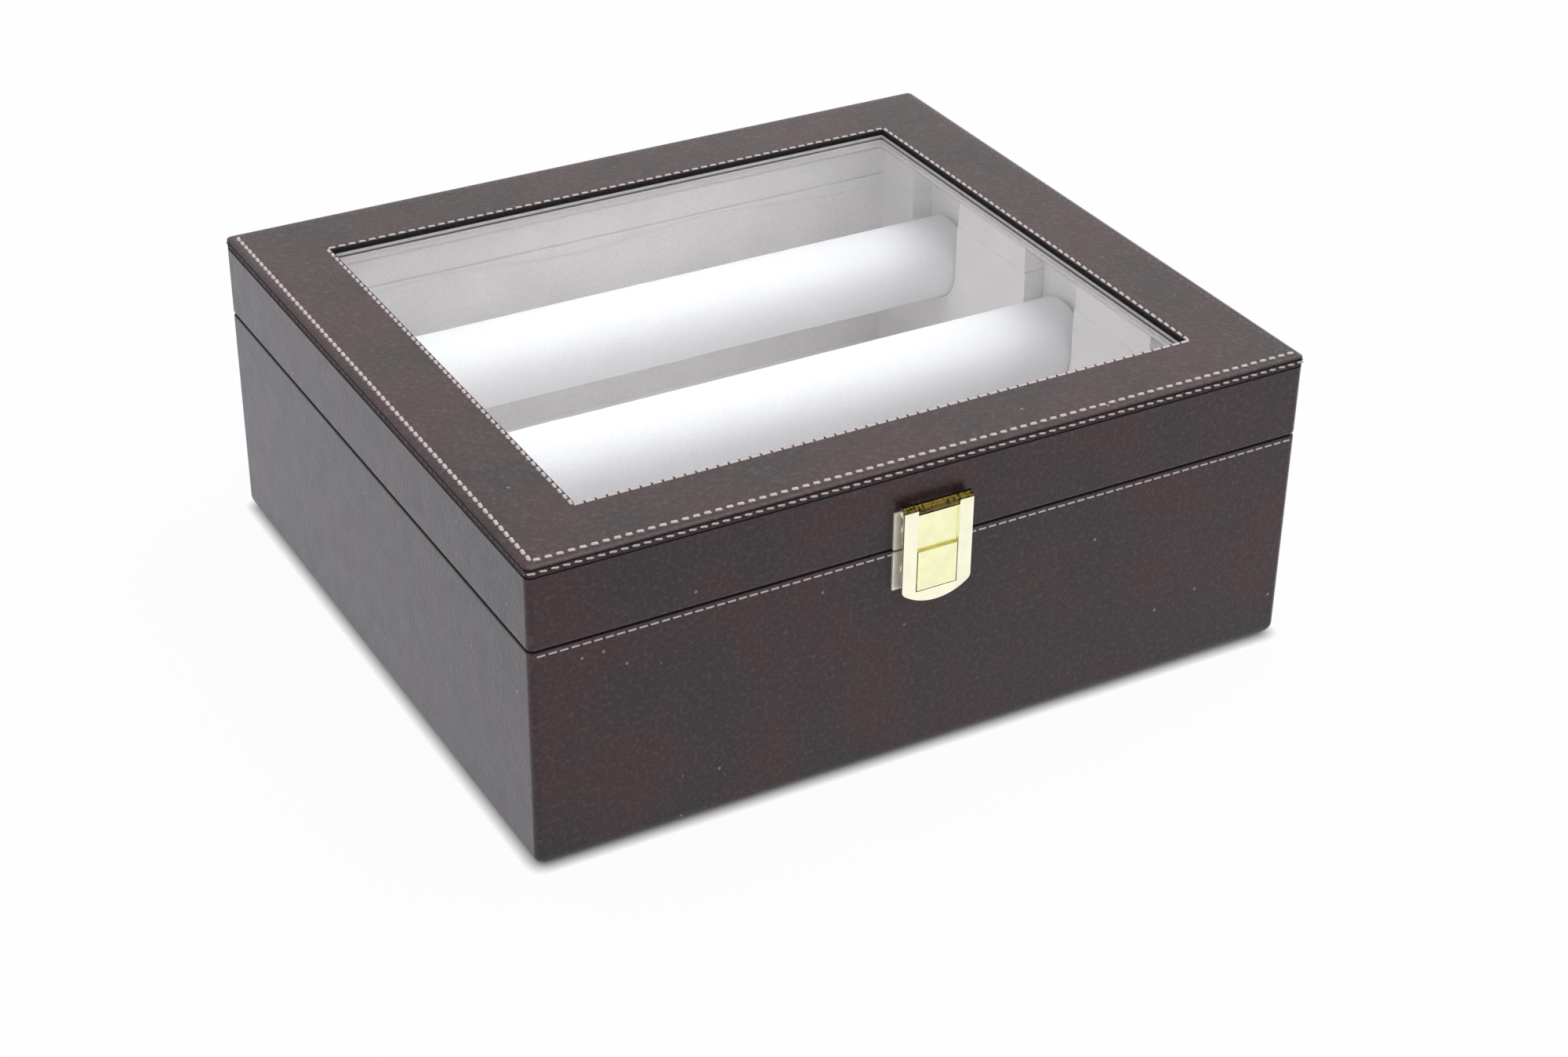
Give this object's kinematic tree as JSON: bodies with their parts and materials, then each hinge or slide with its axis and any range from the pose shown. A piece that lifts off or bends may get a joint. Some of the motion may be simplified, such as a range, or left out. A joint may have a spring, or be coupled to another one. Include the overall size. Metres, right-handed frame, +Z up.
{
  "type": "bangle box",
  "caption": "Leather-covered rectangular bangle box with a hinged glass-windowed lid, a brass flap latch and padded velvet rolls lying across the inside.",
  "frame": {"origin": "middle of the flat underside that the box stands on", "axes": "+X runs to the right along the front, +Y from the front with the latch to the back with the hinges, +Z up"},
  "size_m": [0.27, 0.2484, 0.105],
  "materials": {
    "leather": "dark brown, fine pebbled grain with a low sheen",
    "thread": "off-white waxed thread",
    "board": "plain fibreboard, hidden",
    "lining": "light grey velvet, matt",
    "velvet": "off-white velvet, matt",
    "foam": "soft foam sheet, hidden",
    "card": "grey-brown pressed card, hidden",
    "glass": "clear, polished",
    "brass": "pale gold, polished",
    "bottom_paper": "matt black cover sheet"
  },
  "bodies": {
    "base": {"base_bottom_cover": "bottom_paper", "base_bottom_board": "board", "base_front_board": "board", "base_back_board": "board", "base_left_board": "board", "base_right_board": "board", "base_leather_wrap": "leather", "base_rim_stitching": "thread", "base_floor_lining": "lining", "base_front_lining": "lining", "base_back_lining": "lining", "base_left_lining": "lining", "base_right_lining": "lining", "left_roll_cradle": "lining", "right_roll_cradle": "lining", "latch_catch_plate": "brass", "latch_catch_screws": "brass", "left_hinge_base_leaf": "brass", "right_hinge_base_leaf": "brass", "hinge_pins": "brass", "base_hinge_screws": "brass"},
    "lid": {"lid_front_board": "board", "lid_back_board": "board", "lid_left_board": "board", "lid_right_board": "board", "lid_top_board": "board", "glass_pane": "glass", "window_liner_frame": "lining", "lid_top_leather": "leather", "lid_side_leather": "leather", "lid_edge_stitching": "thread", "lid_window_stitching": "thread", "lid_front_lining": "lining", "lid_back_lining": "lining", "lid_left_lining": "lining", "lid_right_lining": "lining", "lid_left_end_blocks": "lining", "lid_right_end_blocks": "lining", "latch_lid_plate": "brass", "latch_lid_screws": "brass", "latch_pin": "brass", "left_hinge_lid_leaf": "brass", "right_hinge_lid_leaf": "brass", "lid_hinge_screws": "brass"},
    "latch_flap": {"latch_flap": "brass", "latch_spring_tongue": "brass"},
    "front_roll": {"front_roll_core": "card", "front_roll_padding": "foam", "front_roll_cover": "velvet", "front_roll_end_plugs": "card"},
    "middle_roll": {"middle_roll_core": "card", "middle_roll_padding": "foam", "middle_roll_cover": "velvet", "middle_roll_end_plugs": "card"},
    "back_roll": {"back_roll_core": "card", "back_roll_padding": "foam", "back_roll_cover": "velvet", "back_roll_end_plugs": "card"}
  },
  "joints": [
    {"name": "lid_hinge", "type": "hinge", "parent": "base", "child": "lid", "pos_m": [0, 0.1222, 0.0765], "axis": [-1, 0, 0], "range_deg": [0, 95]},
    {"name": "latch_flap_hinge", "type": "hinge", "parent": "lid", "child": "latch_flap", "pos_m": [-0.0024, -0.1226, 0.0905], "axis": [-1, 0, 0], "range_deg": [0, 110]},
    {"name": "front_roll_lift", "type": "slide", "parent": "base", "child": "front_roll", "axis": [0, 0, 1], "range_m": [0, 0.022]},
    {"name": "middle_roll_lift", "type": "slide", "parent": "base", "child": "middle_roll", "axis": [0, 0, 1], "range_m": [0, 0.022]},
    {"name": "back_roll_lift", "type": "slide", "parent": "base", "child": "back_roll", "axis": [0, 0, 1], "range_m": [0, 0.022]}
  ]
}
